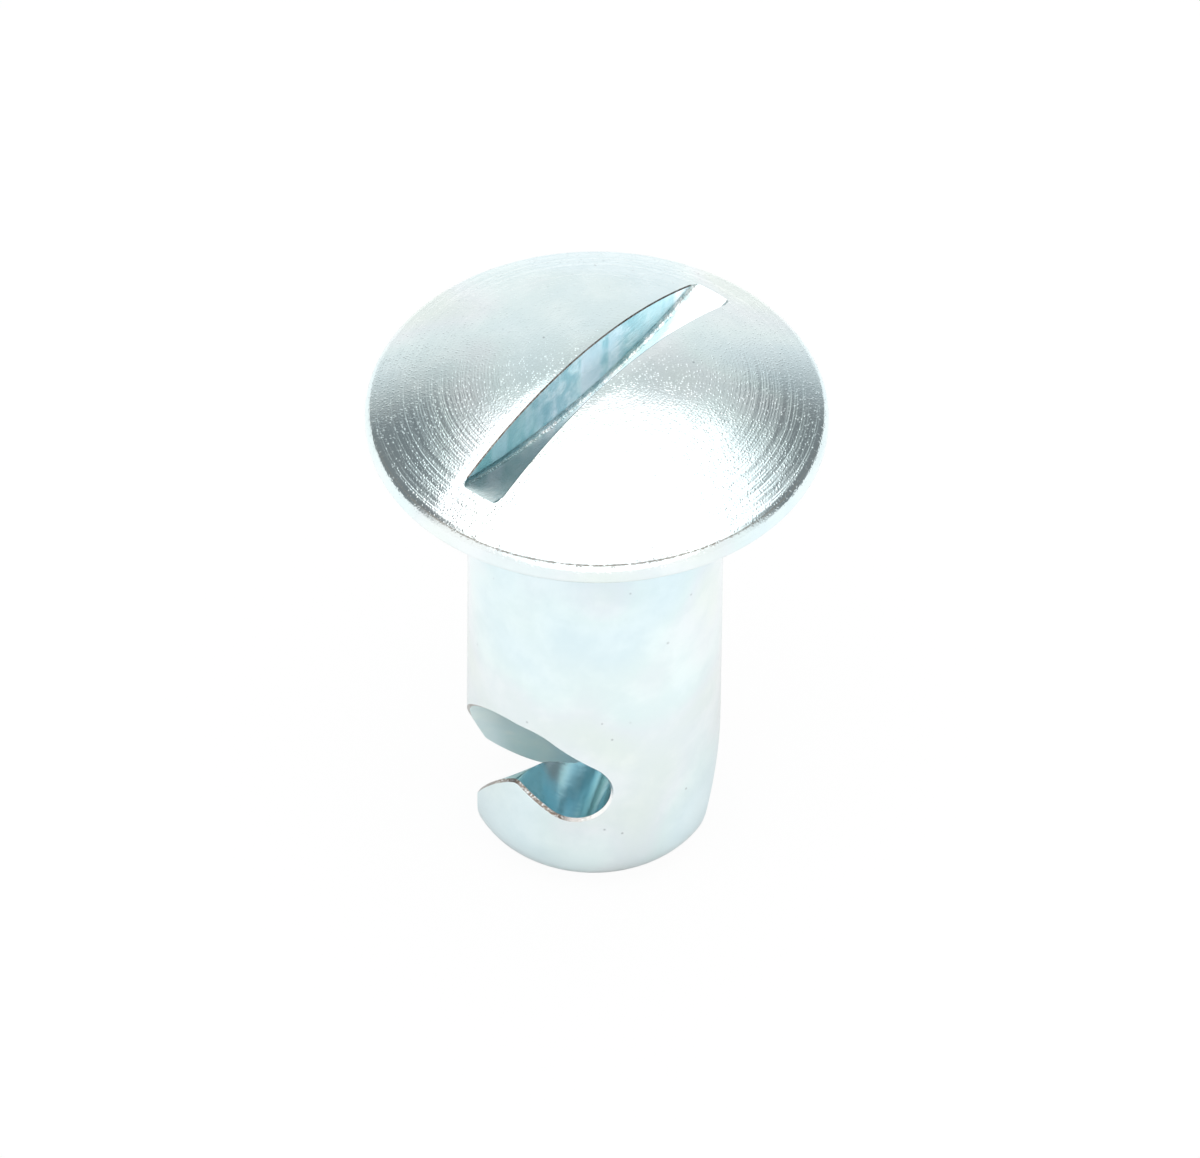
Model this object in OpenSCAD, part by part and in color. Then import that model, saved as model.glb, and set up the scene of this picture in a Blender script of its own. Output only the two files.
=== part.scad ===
// Oval-head stud of a quarter-turn fastener, turned and milled in one piece.
// It stands on the end of its shank. Z runs up along the axis, and the origin
// is the centre of the shank's flat end. X runs along the locked spring wire.
// Angles along a cam are counted from its detent, so the cam's are negative.

/* [Head] */
// Diameter over the rim
head_d = 14.28; // [12.6:0.02:16]
// Height of the rim
rim_h = 0.88; // [0.86:0.02:1.2]
// Rise of the dome above the rim
dome_h = 1.64; // [1.4:0.02:2.4]
// Radius that rounds the rim's upper edge
rim_top_r = 0.5; // [0.3:0.02:0.58]
// Radius that rounds the rim's lower edge
rim_edge_r = 0.22; // [0.1:0.01:0.26]

/* [Driver slot] */
// Width of the saw cut for a screwdriver's blade
driver_w = 1.35; // [1:0.05:1.8]
// Depth of the cut at the middle of the dome
driver_depth = 1.92; // [1.2:0.02:2.1]
// Diameter of the saw that cuts it
saw_d = 47.4; // [40:0.2:56]
// Turn of the cut from the locked wire's line
driver_turn = -28; // [-90:1:90]

/* [Shank] */
// Diameter of the shank
shank_d = 7.94; // [7.5:0.02:8.6]
// Length from the head's seat to the flat end
shank_l = 16.5; // [12:0.1:26]
// Radius that rounds the lower end
end_r = 1.5; // [1:0.05:2]
// Fillet under the head
neck_r = 0.3; // [0.1:0.05:0.5]

/* [Cams] */
// Diameter of the cutter, which leaves room for the spring wire
cutter_d = 2.44; // [2.1:0.02:2.6]
// Height of the detent's centre above the end
detent_z = 4.39; // [4:0.01:5]
// Rise of the crest above the detent
crest_rise = 0.91; // [0.5:0.01:1.2]
// Turn back from the detent to the crest
crest_turn = 30; // [26:1:36]
// Turn back from the detent to where the cam starts at the end
start_turn = 96; // [90:1:104]
// Slope of the drop from the crest into the detent
drop_slope = 32.5; // [26:0.5:40]
// How much the climb flattens towards the crest, where 1 is a plain helix
climb_power = 1.6; // [1.3:0.05:2]

/* [Wire entry] */
// Turn back from the detent to the straight slot that lets the wire in
entry_turn = 73.5; // [68:0.5:78]
// Height of that slot above the end
entry_h = 2.5; // [2.2:0.1:2.8]
// Diameter of the hole up the middle, which lets the wire turn
core_d = 2.6; // [2.5:0.1:3.2]
// How far that hole's straight part runs above the cams
core_over = 0.2; // [0.1:0.05:0.5]
// Angle of the drill's point
drill_point = 118; // [90:1:140]

/* [Hidden] */

$fn = 128;
// Cuts run this far past what they open
past = 1;

shank_r = shank_d / 2;
head_r = head_d / 2;
rim_z = shank_l + rim_h;
top_z = rim_z + dome_h;
// The dome runs into the rim's rounded upper edge without a corner, so it has the
// radius of the circle through the top that the edge's circle touches from inside
edge_in = head_r - rim_top_r;
dome_r = (pow(edge_in, 2) + pow(dome_h + rim_top_r, 2) - pow(rim_top_r, 2)) / (2 * dome_h);
dome_foot_turn = acos(edge_in / (dome_r - rim_top_r));
dome_foot_z = rim_z - rim_top_r * (1 - sin(dome_foot_turn));

cutter_r = cutter_d / 2;
core_r = core_d / 2;
crest_z = detent_z + crest_rise;
// Halfway from the detent's far side to the next cam's start
plain_turn = (180 - start_turn) / 2;
core_depth = crest_z + cutter_r + core_over;

// The cam's sweep is this much slimmer than the round detent it ends in
sweep_ease = 0.015;
sweep_r = cutter_r - sweep_ease;
// The sweep starts this far back, with the cutter clear below the end
run_in = 14;
// Share of the cutter's radius that the sweep's first and last walls take in
wall_share = 0.9;
// Steps of the cutter, in degrees, and rows and rings of the sweep's surface
cutter_step = 1;
sweep_rows = 60;
sweep_rings = 6;
sweep_in = core_r - 0.04;
sweep_out = shank_r + 0.4;

module rounded_rim() {
    translate([0, shank_l]) square([edge_in, rim_h]);
    translate([0, shank_l]) square([head_r - rim_edge_r, rim_h - rim_top_r]);
    translate([0, shank_l + rim_edge_r]) square([head_r, rim_h - rim_top_r - rim_edge_r]);
    translate([head_r - rim_edge_r, shank_l + rim_edge_r]) circle(rim_edge_r);
    translate([edge_in, rim_z - rim_top_r]) circle(rim_top_r);
}

module dome() {
    intersection() {
        translate([0, top_z - dome_r]) circle(dome_r);
        translate([0, dome_foot_z]) square([head_r, dome_h + past]);
    }
}

module rounded_shank() {
    translate([0, end_r]) square([shank_r, shank_l - end_r]);
    square([shank_r - end_r, rim_z]);
    translate([shank_r - end_r, end_r]) circle(end_r);
}

module neck_fillet() {
    translate([shank_r, shank_l - neck_r])
        difference() {
            translate([-past, 0]) square([past + neck_r, neck_r]);
            translate([neck_r, 0]) circle(neck_r);
        }
}

// The turned blank: shank, fillet, rim and dome in one revolve, which starts on
// the plain side of the shank so that no cam cuts its seam
module blank() {
    rotate(plain_turn) rotate_extrude() {
        rounded_rim();
        dome();
        rounded_shank();
        neck_fillet();
    }
}

// A thin saw of large diameter leaves the slot's floor hollow
module driver_slot() {
    rotate(driver_turn)
        translate([0, 0, top_z - driver_depth + saw_d / 2])
            rotate([90, 0, 0])
                cylinder(d = saw_d, h = driver_w, center = true);
}

// Height of the cutter's centre line at an angle from the detent
function climb_z(a) =
    a > -crest_turn ? crest_z
    : crest_z * (1 - pow((-crest_turn - a) / (start_turn - crest_turn), climb_power));
function drop_z(a) = detent_z - shank_r * tan(drop_slope) * a * PI / 180;
function cam_z(a) = min(climb_z(a), drop_z(a));

// Where the upright line at angle a and radius r runs through the cutter as it
// sweeps the cam: the lowest and highest point over all of its stations
stations = [for (b = [-start_turn - run_in : cutter_step : 0]) [b, cam_z(b)]];
function half_chord(r, turn) =
    let (aside = r * sin(turn))
    cos(turn) > 0 && abs(aside) < sweep_r ? sqrt(pow(sweep_r, 2) - pow(aside, 2)) : -1;
function chords(a, r) =
    [for (s = stations) let (h = half_chord(r, a - s[0])) if (h >= 0) [s[1] - h, s[1] + h]];
function swept_span(a, r) =
    let (c = chords(a, r)) [min([for (i = c) i[0]]), max([for (i = c) i[1]])];

function ring_r(j) = sweep_in + (sweep_out - sweep_in) * j / sweep_rings;
function row_angle(i, r) =
    let (side = asin(wall_share * sweep_r / r), first = -start_turn - run_in - side)
    first + (side - first) * i / sweep_rows;

// One cam's sweep as a closed surface: its floor, its roof and the walls around
module cam_sweep() {
    across = sweep_rings + 1;
    grid = [for (i = [0 : sweep_rows], j = [0 : sweep_rings])
        let (r = ring_r(j), a = row_angle(i, r)) [r, a, swept_span(a, r)]];
    sheet = len(grid);
    floor_points = [for (g = grid) [g[0] * cos(g[1]), g[0] * sin(g[1]), g[2][0]]];
    roof_points = [for (g = grid) [g[0] * cos(g[1]), g[0] * sin(g[1]), g[2][1]]];
    rim = concat(
        [for (j = [0 : sweep_rings]) j],
        [for (i = [1 : sweep_rows]) i * across + sweep_rings],
        [for (j = [sweep_rings - 1 : -1 : 0]) sweep_rows * across + j],
        [for (i = [sweep_rows - 1 : -1 : 1]) i * across]);
    floor_faces = [for (i = [0 : sweep_rows - 1], j = [0 : sweep_rings - 1])
        let (p = i * across + j)
        each [[p, p + 1, p + across], [p + 1, p + across + 1, p + across]]];
    roof_faces = [for (f = floor_faces) [f[0] + sheet, f[2] + sheet, f[1] + sheet]];
    wall_faces = [for (k = [0 : len(rim) - 1])
        let (p = rim[k], q = rim[(k + 1) % len(rim)])
        each [[p, p + sheet, q], [q, p + sheet, q + sheet]]];
    polyhedron(concat(floor_points, roof_points), concat(floor_faces, roof_faces, wall_faces));
}

module detent() {
    translate([0, 0, detent_z])
        rotate([0, 90, 0])
            cylinder(r = cutter_r, h = 2 * (shank_r + past), center = true);
}

module wire_entry() {
    rotate(-entry_turn)
        translate([-shank_r - past, -cutter_r, -past])
            cube([2 * (shank_r + past), cutter_d, entry_h + past]);
}

module core_hole() {
    translate([0, 0, -past]) cylinder(r = core_r, h = core_depth + past);
    translate([0, 0, core_depth]) cylinder(r1 = core_r, r2 = 0, h = core_r / tan(drill_point / 2));
}

module stud() {
    color([0.82, 0.86, 0.89])
        difference() {
            blank();
            driver_slot();
            core_hole();
            wire_entry();
            detent();
            for (side = [0, 180]) rotate(side) cam_sweep();
        }
}

stud();
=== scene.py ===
import math

import bpy
import numpy as np
from mathutils import Matrix, Vector


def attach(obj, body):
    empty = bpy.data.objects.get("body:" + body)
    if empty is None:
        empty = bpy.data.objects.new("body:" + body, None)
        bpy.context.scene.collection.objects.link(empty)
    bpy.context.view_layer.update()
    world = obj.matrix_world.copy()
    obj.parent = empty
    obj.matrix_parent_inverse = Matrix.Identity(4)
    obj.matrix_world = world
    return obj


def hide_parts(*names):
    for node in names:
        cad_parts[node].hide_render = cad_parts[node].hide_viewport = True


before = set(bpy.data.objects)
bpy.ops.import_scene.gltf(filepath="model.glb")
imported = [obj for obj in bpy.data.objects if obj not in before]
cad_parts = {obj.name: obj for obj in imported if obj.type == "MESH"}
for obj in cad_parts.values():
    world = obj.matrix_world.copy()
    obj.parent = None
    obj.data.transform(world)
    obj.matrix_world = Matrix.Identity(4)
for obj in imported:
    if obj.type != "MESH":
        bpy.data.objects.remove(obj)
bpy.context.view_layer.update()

# ---------------------------------------------------------------------------
# The view: the stud stands on a white table and is seen from about 44 degrees
# above, through a long lens that leaves almost no perspective.
MM = 0.001
PHOTO_WIDTH, PHOTO_HEIGHT = 1200, 1158
SENSOR_MM = 36.0
pixel_focal = 16250.0
camera_distance = 500 * MM
camera_elevation = math.radians(43.7)
camera_roll = math.radians(0.6)
camera_azimuth = math.radians(10.0)
aim_height = 16.7 * MM
aim_pixel = (596.8, 419.4)

away = Vector((-math.cos(camera_azimuth), -math.sin(camera_azimuth), 0))
level_right = Vector((-math.sin(camera_azimuth), math.cos(camera_azimuth), 0))
up = Vector((0, 0, 1))
lift, reach = math.sin(camera_elevation), math.cos(camera_elevation)
aim_back = reach * away - lift * up
screen_up = lift * away + reach * up
turned_right = math.cos(camera_roll) * level_right + math.sin(camera_roll) * screen_up
turned_up = math.cos(camera_roll) * screen_up - math.sin(camera_roll) * level_right
across = (PHOTO_WIDTH / 2 - aim_pixel[0]) / pixel_focal
down = (PHOTO_HEIGHT / 2 - aim_pixel[1]) / pixel_focal
look = (aim_back + across * turned_right - down * turned_up).normalized()
camera_x = (turned_right - turned_right.dot(look) * look).normalized()
camera_y = camera_x.cross(look)

camera = bpy.data.objects.new("camera", bpy.data.cameras.new("camera"))
camera.data.sensor_width = SENSOR_MM
camera.data.lens = pixel_focal * SENSOR_MM / PHOTO_WIDTH
camera.data.clip_start = 0.01
camera.data.clip_end = 20
camera_place = aim_height * up - camera_distance * aim_back
camera.matrix_world = Matrix((
    (camera_x.x, camera_y.x, -look.x, camera_place.x),
    (camera_x.y, camera_y.y, -look.y, camera_place.y),
    (camera_x.z, camera_y.z, -look.z, camera_place.z),
    (0, 0, 0, 1)))
bpy.context.scene.collection.objects.link(camera)
bpy.context.scene.camera = camera
bpy.context.scene.view_settings.view_transform = "Standard"

# ---------------------------------------------------------------------------
# The table: a white sheet, much larger than the stud, that keeps a faint shadow
# and shows white in the metal.
table_half = 1.2
table = bpy.data.meshes.new("table")
table.from_pydata([(-table_half, -table_half, 0), (table_half, -table_half, 0),
                   (table_half, table_half, 0), (-table_half, table_half, 0)],
                  [], [(0, 1, 2, 3)])
table = bpy.data.objects.new("table", table)
bpy.context.scene.collection.objects.link(table)


def node(tree, kind, inputs=None, **settings):
    """Adds one shader node, sets its settings, and its inputs by name or by number."""
    made = tree.nodes.new(kind)
    for key, value in settings.items():
        setattr(made, key, value)
    for key, value in (inputs or {}).items():
        if isinstance(value, bpy.types.NodeSocket):
            tree.links.new(value, made.inputs[key])
        else:
            made.inputs[key].default_value = value
    return made


def math_node(tree, operation, *values):
    """One Math node's output; each value is a number or another node's output."""
    return node(tree, "ShaderNodeMath", dict(enumerate(values)), operation=operation).outputs[0]


def ramp_up(tree, value, low, high, to_low=0.0, to_high=1.0):
    """Goes smoothly from to_low to to_high as the value goes from low to high."""
    return node(tree, "ShaderNodeMapRange",
                {"Value": value, "From Min": low, "From Max": high,
                 "To Min": to_low, "To Max": to_high},
                interpolation_type="SMOOTHSTEP").outputs["Result"]


def mix_color(tree, factor, first, second, **settings):
    """Blends two colours; each is a tuple or another node's output."""
    return node(tree, "ShaderNodeMix", {0: factor, 6: first, 7: second},
                data_type="RGBA", **settings).outputs[2]


# Shares of plain white that the camera and the metal see in the sheet; the rest is paper
paper_white = (0.9, 0.9, 0.9, 1)
white_in_view = 0.95
white_in_metal = 0.12

white_sheet = bpy.data.materials.new("white_sheet")
white_sheet.use_nodes = True
tree = white_sheet.node_tree
tree.nodes.clear()
rays = node(tree, "ShaderNodeLightPath")
paper = node(tree, "ShaderNodeBsdfDiffuse", {"Color": paper_white})
glow = node(tree, "ShaderNodeEmission", {"Color": (1, 1, 1, 1), "Strength": 1.0})
in_view = math_node(tree, "MULTIPLY", rays.outputs["Is Camera Ray"], white_in_view)
in_metal = math_node(tree, "MULTIPLY", rays.outputs["Is Glossy Ray"], white_in_metal)
sheet = node(tree, "ShaderNodeMixShader",
             {0: math_node(tree, "MAXIMUM", in_view, in_metal),
              1: paper.outputs[0], 2: glow.outputs[0]})
node(tree, "ShaderNodeOutputMaterial", {"Surface": sheet.outputs[0]})
table.data.materials.append(white_sheet)

# ---------------------------------------------------------------------------
# The studio light: a broad soft box overhead, a pale screen behind the table, a
# white tent in front, a dark bar across that tent, and the unlit room to both sides.
box_white = (1.7, 1.7, 1.7, 1)
screen_white = (0.98, 0.99, 0.99, 1)
tent_white = (1.1, 1.09, 1.08, 1)
bar_brown = (0.34, 0.29, 0.25, 1)
near_room = (0.645, 0.68, 0.675, 1)
far_room = (0.228, 0.241, 0.25, 1)
lowest_rise = 0.02
box_flare = 0.45
box_spill = 0.28
room_middle = 0.1
screen_tilt = 0.06
bar_slope = -1.046
bar_bow = 0.233
lamp_size = 0.5
lamp_height = 0.7
lamp_forward = 0.1

studio = bpy.data.worlds.new("studio")
bpy.context.scene.world = studio
studio.use_nodes = True
tree = studio.node_tree
tree.nodes.clear()
direction = node(tree, "ShaderNodeTexCoord").outputs["Generated"]


def along(axis):
    """How far the world's direction points along an axis, from -1 to 1."""
    return node(tree, "ShaderNodeVectorMath", {0: direction, 1: axis},
                operation="DOT_PRODUCT").outputs["Value"]


# A slope is how far a direction leans to the right or to the back for each unit that it
# rises. On slopes the box overhead has straight sides, which flare out to the back.
backward, rightward, height = along(away), along(level_right), along(up)
rise = math_node(tree, "MAXIMUM", height, lowest_rise)
side_slope = math_node(tree, "DIVIDE", rightward, rise)
back_slope = math_node(tree, "DIVIDE", backward, rise)
flare = math_node(tree, "MULTIPLY", back_slope, box_flare)
past_left = math_node(tree, "SUBTRACT", flare, side_slope)
past_right = math_node(tree, "ADD", flare, side_slope)


def box_edge(slope, bright, faint):
    """The box's light past one side: most of it stops over the bright range of slopes,
    and a faint spill of it goes on to the end of the wider one."""
    most = ramp_up(tree, slope, bright[0], bright[1], 1 - box_spill, 0.0)
    spill = ramp_up(tree, slope, faint[0], faint[1], box_spill, 0.0)
    return math_node(tree, "ADD", most, spill)


box = math_node(tree, "MULTIPLY", box_edge(past_left, (0.68, 0.78), (0.70, 0.98)),
                box_edge(past_right, (0.80, 0.91), (0.85, 1.40)))
box = math_node(tree, "MULTIPLY", box, ramp_up(tree, back_slope, 0.66, 0.80, 1.0, 0.0))
off_middle = math_node(tree, "SUBTRACT", side_slope, room_middle)
off_middle = math_node(tree, "ABSOLUTE", off_middle)
room = mix_color(tree, ramp_up(tree, off_middle, 0.45, 1.05), near_room, far_room)
screen = math_node(tree, "MULTIPLY", rightward, screen_tilt)
screen = math_node(tree, "SUBTRACT", backward, screen)
room = mix_color(tree, ramp_up(tree, screen, 0.61, 0.94), room, screen_white)
room = mix_color(tree, ramp_up(tree, backward, 0.0, -0.35), room, tent_white)
room = mix_color(tree, box, room, box_white)
bow = math_node(tree, "MULTIPLY", side_slope, side_slope)
bow = math_node(tree, "MULTIPLY", bow, bar_bow)
off_bar = math_node(tree, "SUBTRACT", back_slope, math_node(tree, "ADD", bow, bar_slope))
off_bar = math_node(tree, "ABSOLUTE", off_bar)
room = mix_color(tree, ramp_up(tree, off_bar, 0.18, 0.42, 1.0, 0.0), room, bar_brown)
backdrop = node(tree, "ShaderNodeBackground", {"Color": (1, 1, 1, 1), "Strength": 1.0})
lit_room = node(tree, "ShaderNodeBackground", {"Color": room, "Strength": 1.0})
rays = node(tree, "ShaderNodeLightPath")
sky = node(tree, "ShaderNodeMixShader",
           {0: rays.outputs["Is Camera Ray"], 1: lit_room.outputs[0],
            2: backdrop.outputs[0]})
node(tree, "ShaderNodeOutputWorld", {"Surface": sky.outputs[0]})

lamp = bpy.data.lights.new("soft_box", "AREA")
lamp.shape = "DISK"
lamp.size = lamp_size
lamp.energy = 1.0
soft_box = bpy.data.objects.new("soft_box", lamp)
soft_box.location = lamp_height * up - lamp_forward * away
soft_box.rotation_euler = soft_box.location.to_track_quat("Z", "Y").to_euler()
soft_box.visible_camera = False
soft_box.visible_glossy = False
bpy.context.scene.collection.objects.link(soft_box)

# ---------------------------------------------------------------------------
# The stud: one piece of steel, turned on a lathe to a domed head and a plain
# shank, then sawn for the screwdriver, drilled up the middle and milled with two
# cam slots, and last plated with bright blue-white zinc.
head_r = 7.14
rim_h = 0.88
dome_h = 1.64
rim_top_r = 0.5
rim_edge_r = 0.22
shank_r = 3.97
shank_l = 16.5
end_r = 1.5
neck_r = 0.3
driver_w = 1.35
driver_depth = 1.92
saw_r = 23.7
driver_turn = math.radians(-28)
cutter_r = 1.22
detent_z = 4.39
crest_z = 5.30
crest_turn = math.radians(30)
start_turn = math.radians(96)
run_in = math.radians(14)
drop_slope = math.radians(32.5)
climb_power = 1.6
entry_turn = math.radians(73.5)
entry_h = 2.5
core_r = 1.3
core_depth = 6.72
drill_half_angle = math.radians(59)
# The broken edges along the slot and the cams, and the corners at the slot's floor
slot_edge = 0.04
cam_edge = 0.09
saw_corner_r = 0.15
rim_z = shank_l + rim_h
top_z = rim_z + dome_h

turned_zinc = bpy.data.materials.new("turned_zinc")
sawn_zinc = bpy.data.materials.new("sawn_zinc")
milled_zinc = bpy.data.materials.new("milled_zinc")
broken_edge = bpy.data.materials.new("broken_edge")
worn_corner = bpy.data.materials.new("worn_corner")


def arc(centre, radius, start, stop, count):
    """Points (r, z) on a circle: the centre plus the radius times cos t and sin t, with t
    from start to stop in degrees."""
    t = np.radians(np.linspace(start, stop, count))
    return np.stack([centre[0] + radius * np.cos(t), centre[1] + radius * np.sin(t)], 1)


def grid_faces(rows, columns, wrap):
    """Quads between neighbours of a grid of points; with wrap the last row joins the first."""
    i, j = np.meshgrid(np.arange(rows if wrap else rows - 1), np.arange(columns - 1),
                       indexing="ij")
    k = (i + 1) % rows
    return np.stack([i * columns + j, k * columns + j, k * columns + j + 1, i * columns + j + 1],
                    -1).reshape(-1, 4)


def solid(name, points, quads, fans, materials, face_material):
    """A closed mesh in metres from points in mm, quads, and end caps given as point rings."""
    mesh = bpy.data.meshes.new(name)
    faces = quads.tolist() + [list(f) for f in fans]
    mesh.from_pydata((points * MM).tolist(), [], faces)
    for m in materials:
        mesh.materials.append(m)
    mesh.polygons.foreach_set("material_index", np.asarray(face_material, np.int32))
    mesh.validate()
    mesh.update()
    made = bpy.data.objects.new(name, mesh)
    bpy.context.scene.collection.objects.link(made)
    return made


def revolve(name, profile, count, material):
    """Turns a profile of (r, z) about Z: x = r cos a, y = r sin a, with its first and
    last points on the axis, where a fan of triangles closes each pole."""
    a = np.linspace(0, 2 * np.pi, count, endpoint=False)
    ring = profile[1:-1]
    x = ring[None, :, 0] * np.cos(a)[:, None]
    y = ring[None, :, 0] * np.sin(a)[:, None]
    z = np.broadcast_to(ring[None, :, 1], x.shape)
    points = np.stack([x, y, z], -1).reshape(-1, 3)
    m = len(ring)
    quads = grid_faces(count, m, True)
    low, high = len(points), len(points) + 1
    points = np.vstack([points, [[0, 0, profile[0, 1]], [0, 0, profile[-1, 1]]]])
    i = np.arange(count)
    k = (i + 1) % count
    fans = np.vstack([np.stack([np.full(count, low), k * m, i * m], 1),
                      np.stack([np.full(count, high), i * m + m - 1, k * m + m - 1], 1)])
    return solid(name, points, quads, fans, [material], np.zeros(len(quads) + len(fans)))


# The dome is the circle through the top that the rim's rounded upper edge touches
# from inside, so it runs into that edge without a corner.
edge_in = head_r - rim_top_r
dome_r = (edge_in ** 2 + (dome_h + rim_top_r) ** 2 - rim_top_r ** 2) / (2 * dome_h)
foot_turn = math.degrees(math.acos(edge_in / (dome_r - rim_top_r)))
# Extra rings on the flat end, the shank and the head's seat keep the facets short.
profile = np.vstack([
    [[0, 0], [0.8, 0], [1.6, 0]],
    arc((shank_r - end_r, end_r), end_r, -90, 0, 28),
    [[shank_r, 5], [shank_r, 10], [shank_r, shank_l - neck_r - 0.3]],
    arc((shank_r + neck_r, shank_l - neck_r), neck_r, 180, 90, 9),
    [[5.2, shank_l], [6.2, shank_l]],
    arc((head_r - rim_edge_r, shank_l + rim_edge_r), rim_edge_r, -90, 0, 9),
    arc((edge_in, rim_z - rim_top_r), rim_top_r, 0, foot_turn, 16),
    arc((0, top_z - dome_r), dome_r, foot_turn, 90, 60)[1:]])
stud = revolve("stud_piece", profile, 384, turned_zinc)


def cam_z(b):
    """Height of the cutter's centre line at angle b from the detent: a climb that
    flattens to a level crest, cut short by a straight drop into the detent."""
    back = np.clip((-crest_turn - b) / (start_turn - crest_turn), 0, None)
    climb = crest_z * (1 - back ** climb_power)
    drop = detent_z - shank_r * np.tan(drop_slope) * b
    return np.minimum(climb, drop)


# The share of the cutter that the sweep's first wall takes in, the step between its
# stations in degrees, and the share of its rows that are spread evenly over most of
# its turn; the others crowd into the detent's round wall.
first_wall = 0.9
station_step = 0.25
even_rows, even_turn = 0.75, 0.86
# How far the sweep runs into the hole up the middle, and out of the shank
sweep_in, sweep_out = 0.04, 0.3


def cam_cutter(name, half_turn):
    """The room that a round cutter sweeps along one cam, as a floor and a roof over a
    grid of angle and radius: each is the lowest or highest point of all the cutter's
    stations there. Near the shank's surface the cutter flares and breaks the edge."""
    radii = np.concatenate([np.linspace(core_r - sweep_in, shank_r - cam_edge, 16),
                            [shank_r, shank_r + sweep_out]])
    flare = np.clip(radii - (shank_r - cam_edge), 0, None)
    cut = cutter_r + flare
    first = -start_turn - run_in - np.arcsin(first_wall * cut / radii)
    last = np.arcsin(cut / radii)
    rows = 360
    t = np.linspace(0, 1, rows)
    crowd = np.sin((t - even_rows) / (1 - even_rows) * np.pi / 2)
    share = np.where(t < even_rows, t / even_rows * even_turn,
                     even_turn + (1 - even_turn) * crowd)
    a = first[None, :] + (last - first)[None, :] * share[:, None]
    a[-1] = last
    low = np.full(a.shape, np.inf)
    high = np.full(a.shape, -np.inf)
    for b in np.radians(np.arange(-math.degrees(start_turn + run_in), 0.01, station_step)):
        aside = radii[None, :] * np.sin(a - b)
        reach2 = cut[None, :] ** 2 - aside ** 2
        inside = (reach2 >= -1e-9) & (np.cos(a - b) > 0)
        chord = np.sqrt(np.clip(reach2, 0, None))
        centre = cam_z(b)
        low = np.where(inside, np.minimum(low, centre - chord), low)
        high = np.where(inside, np.maximum(high, centre + chord), high)
    hair = 1e-4
    high = np.maximum(high, low + hair)
    turn = a + half_turn
    x, y = radii * np.cos(turn), radii * np.sin(turn)
    points = np.concatenate([np.stack([x, y, low], -1).reshape(-1, 3),
                             np.stack([x, y, high], -1).reshape(-1, 3)])
    columns = len(radii)
    floor = grid_faces(rows, columns, False)
    sheet_size = rows * columns
    roof = floor[:, ::-1] + sheet_size
    loop = np.concatenate([np.arange(columns), np.arange(1, rows) * columns + columns - 1,
                           (rows - 1) * columns + np.arange(columns - 2, -1, -1),
                           np.arange(rows - 2, 0, -1) * columns])
    following = np.roll(loop, -1)
    walls = np.stack([loop, following, following + sheet_size, loop + sheet_size], 1)[:, ::-1]
    quads = np.concatenate([floor, roof, walls])
    # The two outermost columns of faces are the broken edge
    column = np.arange(len(floor)) % (columns - 1)
    edge = (column >= columns - 3).astype(int)
    kinds = np.concatenate([edge, edge, np.zeros(len(walls), int)])
    return solid(name, points, quads, [], [milled_zinc, broken_edge], kinds)


# How far the cut is modelled to each side of the axis, and above the dome
cut_reach = 6.4
cut_over = 0.4


def saw_cutter():
    """A thin saw's cut: at each distance along the slot, a cross-section from the saw's
    round floor over its worn corners up two walls, that flares where it leaves the dome
    to break the edge."""
    half = driver_w / 2
    s = np.linspace(-cut_reach, cut_reach, 160)
    floor = top_z - driver_depth + saw_r - np.sqrt(saw_r ** 2 - s ** 2)
    dome = top_z - dome_r + np.sqrt(dome_r ** 2 - s ** 2 - half ** 2)
    hair = 0.001
    foot = np.maximum(dome - slot_edge, floor + saw_corner_r + hair)
    t = np.linspace(0, np.pi / 2, 7)[:, None]
    one = np.ones(s.shape)
    wide = np.concatenate([(half - saw_corner_r + saw_corner_r * np.sin(t)) * one,
                           [one * half, one * (half + slot_edge + cut_over)]]).T
    level = np.concatenate([floor + saw_corner_r * (1 - np.cos(t)),
                            [foot, foot + slot_edge + cut_over]]).T
    wide = np.concatenate([-wide, wide[:, ::-1]], 1)
    level = np.concatenate([level, level[:, ::-1]], 1)
    along_slot = np.broadcast_to(s[:, None], wide.shape)
    c, d = math.cos(driver_turn), math.sin(driver_turn)
    points = np.stack([along_slot * c - wide * d, along_slot * d + wide * c, level],
                      -1).reshape(-1, 3)
    n, m = wide.shape
    i, j = np.meshgrid(np.arange(n - 1), np.arange(m), indexing="ij")
    k = (j + 1) % m
    quads = np.stack([i * m + j, i * m + k, (i + 1) * m + k, (i + 1) * m + j], -1).reshape(-1, 4)
    ends = [list(range(m)), list(range((n - 1) * m, n * m))[::-1]]
    # Kinds of faces: 0 the sawn floor and walls, 1 the broken edges, 2 the worn corners
    place = np.minimum(j.ravel(), m - 2 - j.ravel())
    kinds = np.where(place < m // 2 - 3, 2, np.where(place == m // 2 - 2, 1, 0))
    kinds = np.concatenate([np.where(j.ravel() == m - 1, 0, kinds), [0, 0]])
    return solid("saw_cutter", points, quads, ends, [sawn_zinc, broken_edge, worn_corner], kinds)


# How far the entry slot and the hole up the middle are cut past the shank
past_shank = 1.0


def entry_cutter():
    """The straight slot across the flat end that lets the spring wire in."""
    long, wide, low, high = shank_r + past_shank, cutter_r, -past_shank, entry_h
    x = np.array([-long, long, long, -long] * 2)
    y = np.array([-wide, -wide, wide, wide] * 2)
    z = np.repeat([low, high], 4)
    c, d = math.cos(-entry_turn), math.sin(-entry_turn)
    points = np.stack([x * c - y * d, x * d + y * c, z], 1)
    quads = np.array([[0, 3, 2, 1], [4, 5, 6, 7], [0, 1, 5, 4],
                      [1, 2, 6, 5], [2, 3, 7, 6], [3, 0, 4, 7]])
    return solid("entry_cutter", points, quads, [], [milled_zinc], np.zeros(6))


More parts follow.
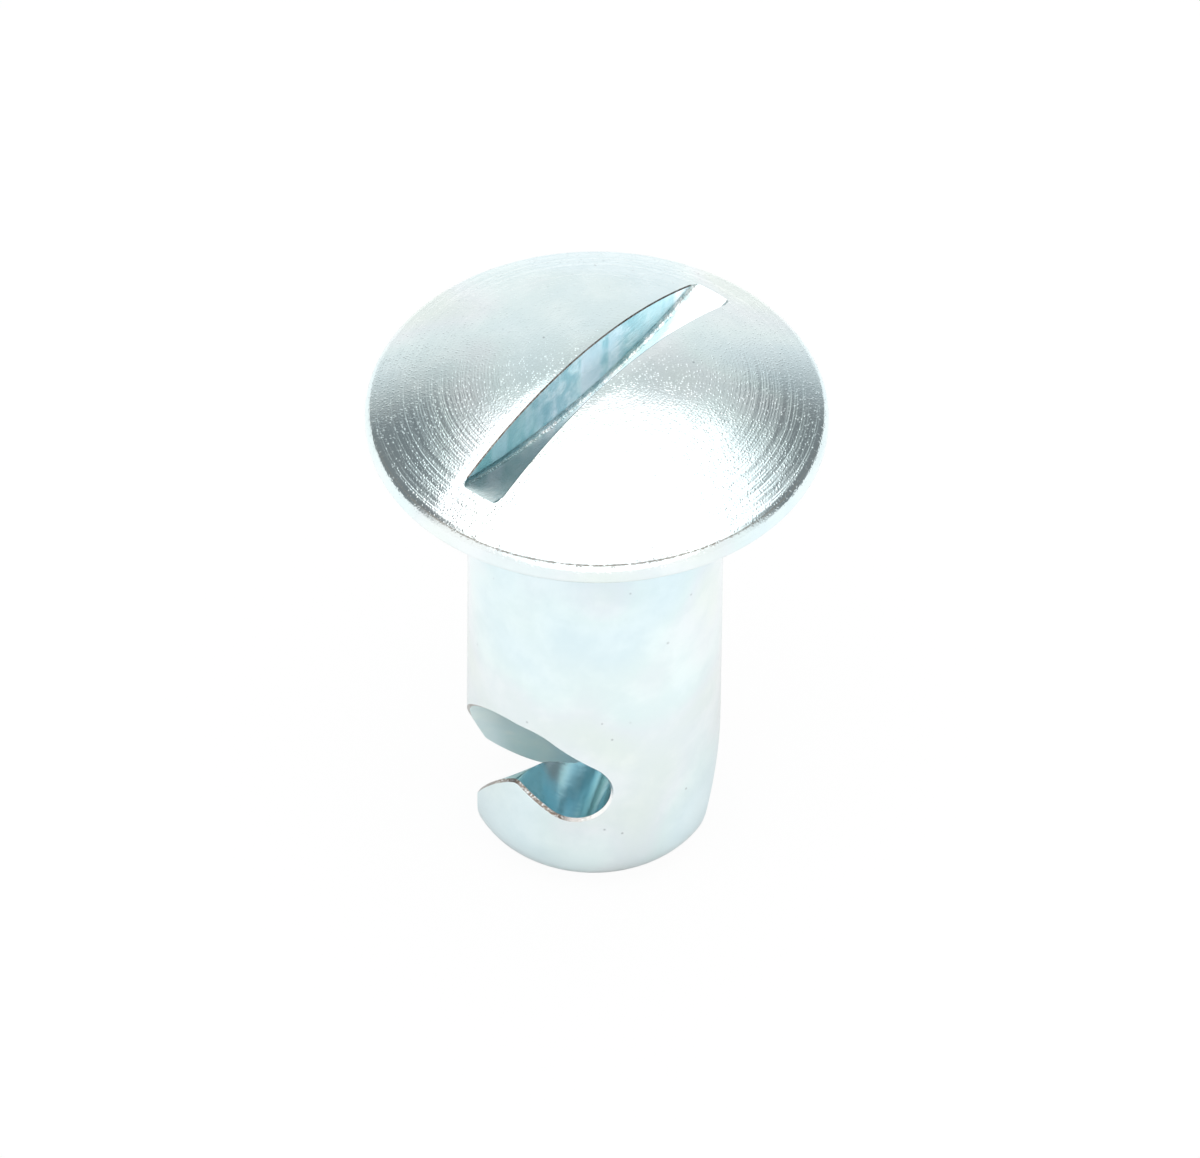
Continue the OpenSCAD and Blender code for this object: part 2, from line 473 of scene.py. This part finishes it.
core_profile = np.array([[0, -past_shank], [core_r, -past_shank], [core_r, 2.0],
                         [core_r, core_depth],
                         [0, core_depth + core_r / math.tan(drill_half_angle)]])
cutters = [saw_cutter(), revolve("core_cutter", core_profile, 96, milled_zinc), entry_cutter(),
           cam_cutter("cam_cutter_a", 0.0), cam_cutter("cam_cutter_b", math.pi)]

for cutter in cutters:
    bpy.context.view_layer.objects.active = cutter
    cutter.select_set(True)
    bpy.ops.object.mode_set(mode="EDIT")
    bpy.ops.mesh.select_all(action="SELECT")
    bpy.ops.mesh.normals_make_consistent(inside=False)
    bpy.ops.object.mode_set(mode="OBJECT")
    cutter.select_set(False)

bpy.context.view_layer.objects.active = stud
for cutter in cutters:
    cut = stud.modifiers.new("cut", "BOOLEAN")
    cut.operation = "DIFFERENCE"
    cut.solver = "MANIFOLD"
    cut.material_mode = "TRANSFER"
    cut.object = cutter
    bpy.ops.object.modifier_apply(modifier="cut")
    bpy.data.objects.remove(cutter)

stud.select_set(True)
sharpest_smooth = math.radians(28)
bpy.ops.object.shade_smooth_by_angle(angle=sharpest_smooth)
even = stud.modifiers.new("even", "WEIGHTED_NORMAL")
even.keep_sharp = True
bpy.ops.object.modifier_apply(modifier="even")
stud.select_set(False)


def noise(tree, vector, scale, detail):
    """A soft noise over the points of a vector, around 0.5."""
    return node(tree, "ShaderNodeTexNoise",
                {"Vector": vector, "Scale": scale, "Detail": detail}).outputs["Fac"]


def effect(name, inputs, outputs):
    """A shader node group with its named inputs, its outputs and a node at each end."""
    tree = bpy.data.node_groups.new(name, "ShaderNodeTree")
    for label, (kind, value) in inputs.items():
        socket = tree.interface.new_socket(label, in_out="INPUT", socket_type=kind)
        if value is not None:
            socket.default_value = value
    for label, kind in outputs.items():
        tree.interface.new_socket(label, in_out="OUTPUT", socket_type=kind)
    return tree, node(tree, "NodeGroupInput").outputs, node(tree, "NodeGroupOutput").inputs


# The zinc's colour: clouds from pale to dull, faint straw and blue where the plate's
# film is thinner or thicker, and a few dark specks.
plate_film, film_in, film_out = effect(
    "plate_film",
    {"Place": ("NodeSocketVector", None), "Pale": ("NodeSocketColor", (1, 1, 1, 1)),
     "Dull": ("NodeSocketColor", (1, 1, 1, 1)), "Cloud Size": ("NodeSocketFloat", 600.0),
     "Specks": ("NodeSocketFloat", 0.0)},
    {"Color": "NodeSocketColor"})
straw_film = (1.0, 0.985, 0.94, 1)
pink_film = (1.0, 0.975, 0.98, 1)
plain_film = (0.97, 1.0, 0.99, 1)
blue_film = (0.93, 0.98, 1.0, 1)
dark_speck = (0.32, 0.36, 0.38, 1)
clouds = node(plate_film, "ShaderNodeTexNoise",
              {"Vector": film_in["Place"], "Scale": film_in["Cloud Size"],
               "Detail": 6.0, "Roughness": 0.62}).outputs["Fac"]
color = mix_color(plate_film, ramp_up(plate_film, clouds, 0.38, 0.64),
                  film_in["Dull"], film_in["Pale"])
film = noise(plate_film, film_in["Place"], 240.0, 1.0)
tint = node(plate_film, "ShaderNodeValToRGB", {0: film})
stops = tint.color_ramp.elements
stops[0].position, stops[0].color = 0.34, straw_film
stops[1].position, stops[1].color = 0.66, blue_film
stops.new(0.44).color = pink_film
stops.new(0.53).color = plain_film
color = mix_color(plate_film, 1.0, color, tint.outputs[0], blend_type="MULTIPLY")
dots = node(plate_film, "ShaderNodeTexVoronoi",
            {"Vector": film_in["Place"], "Scale": 1300.0}).outputs
chosen = node(plate_film, "ShaderNodeSeparateColor", {0: dots["Color"]}).outputs[0]
dot = math_node(plate_film, "MULTIPLY", ramp_up(plate_film, chosen, 0.5, 0.54),
                ramp_up(plate_film, dots["Distance"], 0.03, 0.075, 1, 0))
dot = math_node(plate_film, "MULTIPLY", dot, film_in["Specks"])
color = mix_color(plate_film, dot, color, dark_speck)
plate_film.links.new(color, film_out["Color"])

# The plate's grain: fine crystals, and round lumps of uneven height among them.
plate_grain, grain_in, grain_out = effect(
    "plate_grain",
    {"Place": ("NodeSocketVector", None), "Size": ("NodeSocketFloat", 15000.0)},
    {"Fine": "NodeSocketFloat", "Lumps": "NodeSocketFloat"})
fine = noise(plate_grain, grain_in["Place"], grain_in["Size"], 2.0)
plate_grain.links.new(fine, grain_out["Fine"])
cells = node(plate_grain, "ShaderNodeTexVoronoi",
             {"Vector": grain_in["Place"],
              "Scale": math_node(plate_grain, "MULTIPLY", grain_in["Size"], 0.75)}).outputs
tall = node(plate_grain, "ShaderNodeSeparateColor", {0: cells["Color"]}).outputs[0]
tall = ramp_up(plate_grain, tall, 0.0, 0.9)
lumps = math_node(plate_grain, "MULTIPLY", tall,
                  ramp_up(plate_grain, cells["Distance"], 0.05, 0.5, 1.0, 0.0))
plate_grain.links.new(lumps, grain_out["Lumps"])


def plated(material, roughness, pale, dull, cloud_size, specks, bump, bump_depth, marks):
    """Gives a material the plate's metal: its film of colour, and a bump made of the
    tool's own marks, which the marks function builds, and of the plate's grain."""
    material.use_nodes = True
    tree = material.node_tree
    tree.nodes.clear()
    metal = node(tree, "ShaderNodeBsdfPrincipled", {"Metallic": 1.0, "Roughness": roughness})
    node(tree, "ShaderNodeOutputMaterial", {"Surface": metal.outputs[0]})
    place = node(tree, "ShaderNodeTexCoord").outputs["Object"]
    film = node(tree, "ShaderNodeGroup", node_tree=plate_film)
    tree.links.new(place, film.inputs["Place"])
    film.inputs["Pale"].default_value = pale
    film.inputs["Dull"].default_value = dull
    film.inputs["Cloud Size"].default_value = cloud_size
    film.inputs["Specks"].default_value = specks
    grain = node(tree, "ShaderNodeGroup", node_tree=plate_grain)
    tree.links.new(place, grain.inputs["Place"])
    color, height = marks(tree, place, film.outputs["Color"], grain.outputs)
    tree.links.new(color, metal.inputs["Base Color"])
    normal = node(tree, "ShaderNodeBump",
                  {"Height": height, "Strength": bump, "Distance": bump_depth})
    tree.links.new(normal.outputs[0], metal.inputs["Normal"])


def parts_of(tree, place):
    """A place's X, Y and Z."""
    return node(tree, "ShaderNodeSeparateXYZ", {0: place}).outputs


def slot_place(tree, place):
    """The place turned to the driver slot, with X along the slot and Y across it."""
    return node(tree, "ShaderNodeMapping", {0: place, 2: (0, 0, -driver_turn)}).outputs[0]


def noise_along(tree, distance, scale, detail):
    """A noise that changes along one distance only."""
    scaled = math_node(tree, "MULTIPLY", distance, scale)
    return node(tree, "ShaderNodeTexNoise", {"W": scaled, "Scale": 1.0, "Detail": detail},
                noise_dimensions="1D").outputs["Fac"]


def streaks(tree, place, scales, detail):
    """A noise with its own scale along X, Y and Z, drawn out along the smallest one."""
    drawn = node(tree, "ShaderNodeVectorMath", {0: place, 1: scales},
                 operation="MULTIPLY").outputs[0]
    return noise(tree, drawn, 1.0, detail)


def turning_marks(tree, place, color, grain):
    """Grooves about the axis, one for each turn of the lathe's slow feed: a sine of the
    radius whose phase drifts, stronger towards the rim and broken up by soft patches.
    The grain breaks the grooves up into dots on the head, and a soft lip runs down into
    the saw's cut. Painted shade makes the shank bluer and darker under the head, and
    darker at the end where it stands on the table."""
    feed_per_turn = 0.1 * MM
    # Colours of painted shade: the shank under the head, and the end by the table
    painted_head_shade = (0.84, 0.90, 0.94, 1)
    painted_end_shade = (0.76, 0.79, 0.80, 1)
    parts = parts_of(tree, place)
    flat = node(tree, "ShaderNodeCombineXYZ", {0: parts["X"], 1: parts["Y"]}).outputs[0]
    radius = node(tree, "ShaderNodeVectorMath", {0: flat}, operation="LENGTH").outputs["Value"]
    feed = math_node(tree, "ADD", radius, math_node(tree, "MULTIPLY", parts["Z"], 0.3))
    drift = noise_along(tree, feed, 3500.0, 3.0)
    phase = math_node(tree, "ADD",
                      math_node(tree, "MULTIPLY", feed, 2 * math.pi / feed_per_turn),
                      math_node(tree, "MULTIPLY", drift, 14.0))
    groove = math_node(tree, "SINE", phase)
    patches = noise(tree, place, 1400.0, 3.0)
    depth = math_node(tree, "MULTIPLY", ramp_up(tree, patches, 0.3, 0.7, 0.15, 0.6),
                      ramp_up(tree, radius, 1.0 * MM, 5.0 * MM, 0.25, 1.0))
    swell = math_node(tree, "MULTIPLY", drift,
                      ramp_up(tree, radius, 3.5 * MM, 6.5 * MM, 0.9, 7.0))
    rings = math_node(tree, "ADD", math_node(tree, "MULTIPLY", groove, depth), swell)
    # Painted shade on the shank under the head
    head_shade_mask = math_node(tree, "MULTIPLY", ramp_up(tree, parts["Z"], 9.0 * MM, 16.0 * MM),
                     ramp_up(tree, parts["Z"], 16.4 * MM, 16.6 * MM, 1.0, 0.0))
    blue = mix_color(tree, 1.0, color, painted_head_shade, blend_type="MULTIPLY")
    color = mix_color(tree, head_shade_mask, color, blue)
    # Painted shade at the end where it stands on the table
    dull = mix_color(tree, 1.0, color, painted_end_shade, blend_type="MULTIPLY")
    color = mix_color(tree, ramp_up(tree, parts["Z"], 0.0, 2.2 * MM, 1.0, 0.0), color, dull)
    rings = math_node(tree, "ADD", rings, math_node(tree, "MULTIPLY", grain["Fine"], 1.6))
    lumps = math_node(tree, "MULTIPLY", grain["Lumps"],
                      ramp_up(tree, parts["Z"], 16.5 * MM, 17.2 * MM, 0.4, 2.2))
    from_slot = parts_of(tree, slot_place(tree, place))["Y"]
    from_slot = math_node(tree, "ABSOLUTE", from_slot)
    lip = math_node(tree, "MULTIPLY",
                    ramp_up(tree, from_slot, 0.5 * MM, 1.1 * MM, -9.0, 0.0),
                    ramp_up(tree, parts["Z"], 17.3 * MM, 17.6 * MM))
    rings = math_node(tree, "ADD", rings, lip)
    return color, math_node(tree, "ADD", rings, lumps)


def milling_marks(tree, place, color, grain):
    """Fine ripples around the cutter's own axis, X, and in the pockets the plate's blue
    darkened by painted shade, with a few broad pale stripes along that axis."""
    shaded_pocket_blue = (0.53, 0.75, 0.82, 1)
    pale_stripe = (0.70, 0.90, 0.93, 1)
    ripples = streaks(tree, place, (9000.0, 1400.0, 1400.0), 2.0)
    beside = math_node(tree, "ABSOLUTE", parts_of(tree, place)["Y"])
    pocket = ramp_up(tree, beside, 0.8 * MM, 2.1 * MM, 1.0, 0.0)
    # Painted shade in the pockets, over the plate's own blue
    color = mix_color(tree, pocket, color, shaded_pocket_blue)
    broad = streaks(tree, place, (150.0, 2600.0, 2600.0), 1.0)
    stripe = math_node(tree, "MULTIPLY", pocket, ramp_up(tree, broad, 0.55, 0.68, 0.0, 0.35))
    color = mix_color(tree, stripe, color, pale_stripe)
    return color, math_node(tree, "ADD", ripples, math_node(tree, "MULTIPLY", grain["Fine"], 0.3))


def saw_marks(tree, place, color, grain):
    """Scratches along the slot, and bands of painted light that stand across its walls.
    The walls have painted shade towards their ends, and the floor is near white at one
    end and mottled at the other."""
    white_floor = (0.99, 0.99, 0.99, 1)
    floor_teal = (0.88, 1.0, 1.0, 1)
    # Painted shade at the walls' two ends, and painted light in bands across them
    painted_near_shade = (0.46, 0.69, 0.72, 1)
    painted_far_shade = (0.34, 0.58, 0.64, 1)
    painted_light_band = (0.86, 0.93, 0.99, 1)
    turned = slot_place(tree, place)
    scratches = streaks(tree, turned, (1200.0, 8000.0, 9000.0), 2.0)
    parts = parts_of(tree, turned)
    run = math_node(tree, "MULTIPLY", parts["X"], -1.0)
    wall = ramp_up(tree, math_node(tree, "ABSOLUTE", parts["Y"]), 0.6 * MM, 0.66 * MM)
    light_bands = noise_along(tree, run, 900.0, 1.0)
    near_end = ramp_up(tree, run, -3.8 * MM, -1.2 * MM, 1.0, 0.0)
    mottled = mix_color(tree, 0.3, floor_teal, color)
    floor = mix_color(tree, near_end, white_floor, mottled)
    # Painted shade on the walls towards the near end
    color = mix_color(tree, math_node(tree, "MULTIPLY", near_end, 0.85), color, painted_near_shade)
    # Painted shade on the walls towards the far end
    far_end = ramp_up(tree, run, 1.0 * MM, 3.5 * MM, 0.0, 0.8)
    color = mix_color(tree, far_end, color, painted_far_shade)
    # Painted light: pale bands across the walls
    color = mix_color(tree, ramp_up(tree, light_bands, 0.48, 0.62, 0.0, 0.72), color, painted_light_band)
    color = mix_color(tree, wall, floor, color)
    fine = math_node(tree, "MULTIPLY", grain["Fine"], 0.4)
    return color, math_node(tree, "ADD", scratches, fine)


def burr_marks(tree, place, color, grain):
    """Rough crumbs along the edge, brown where the plate is torn: on the tongue beside
    each detent, and along the slot."""
    torn_brown = (0.17, 0.12, 0.085, 1)
    crumbs = noise(tree, place, 13000.0, 3.0)
    parts = parts_of(tree, place)
    tongue = math_node(tree, "MULTIPLY", parts["Y"], math_node(tree, "SIGN", parts["X"]))
    torn = math_node(tree, "MAXIMUM", ramp_up(tree, tongue, -0.4 * MM, 0.1 * MM, 0.9, 0.0),
                     ramp_up(tree, parts["Z"], 12.0 * MM, 13.0 * MM, 0.0, 0.62))
    torn = math_node(tree, "MULTIPLY", torn, ramp_up(tree, crumbs, 0.36, 0.56, 0.45, 1.0))
    color = mix_color(tree, torn, color, torn_brown)
    return color, math_node(tree, "ADD", crumbs, grain["Fine"])


def crumb_marks(tree, place, color, grain):
    """Crumbs along the corner that the saw's worn teeth leave at its floor, darkened
    by painted shade at the cut's one end."""
    painted_corner_shade = (0.35, 0.50, 0.52, 1)
    crumbs = noise(tree, place, 3500.0, 2.0)
    run = parts_of(tree, slot_place(tree, place))["X"]
    # Painted shade over the corner towards the cut's one end
    corner_shade = ramp_up(tree, run, 1.8 * MM, 3.6 * MM, 0.0, 0.95)
    color = mix_color(tree, corner_shade, color, painted_corner_shade)
    return color, math_node(tree, "ADD", crumbs, grain["Fine"])


plated(turned_zinc, roughness=0.14, pale=(0.83, 0.905, 0.915, 1), dull=(0.76, 0.85, 0.865, 1),
       cloud_size=450.0, specks=0.6, bump=0.8, bump_depth=0.0035 * MM, marks=turning_marks)
plated(sawn_zinc, roughness=0.22, pale=(0.78, 0.93, 0.98, 1), dull=(0.44, 0.70, 0.78, 1),
       cloud_size=2200.0, specks=0.3, bump=0.5, bump_depth=0.006 * MM, marks=saw_marks)
plated(milled_zinc, roughness=0.2, pale=(0.75, 0.88, 0.87, 1), dull=(0.63, 0.82, 0.84, 1),
       cloud_size=500.0, specks=0.5, bump=0.5, bump_depth=0.014 * MM, marks=milling_marks)
plated(broken_edge, roughness=0.25, pale=(0.98, 0.99, 0.99, 1), dull=(0.88, 0.93, 0.94, 1),
       cloud_size=1500.0, specks=0.0, bump=0.6, bump_depth=0.01 * MM, marks=burr_marks)
plated(worn_corner, roughness=0.25, pale=(0.95, 0.98, 0.98, 1), dull=(0.55, 0.70, 0.72, 1),
       cloud_size=2500.0, specks=0.0, bump=0.8, bump_depth=0.03 * MM, marks=crumb_marks)

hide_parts("stud")
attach(stud, "root")
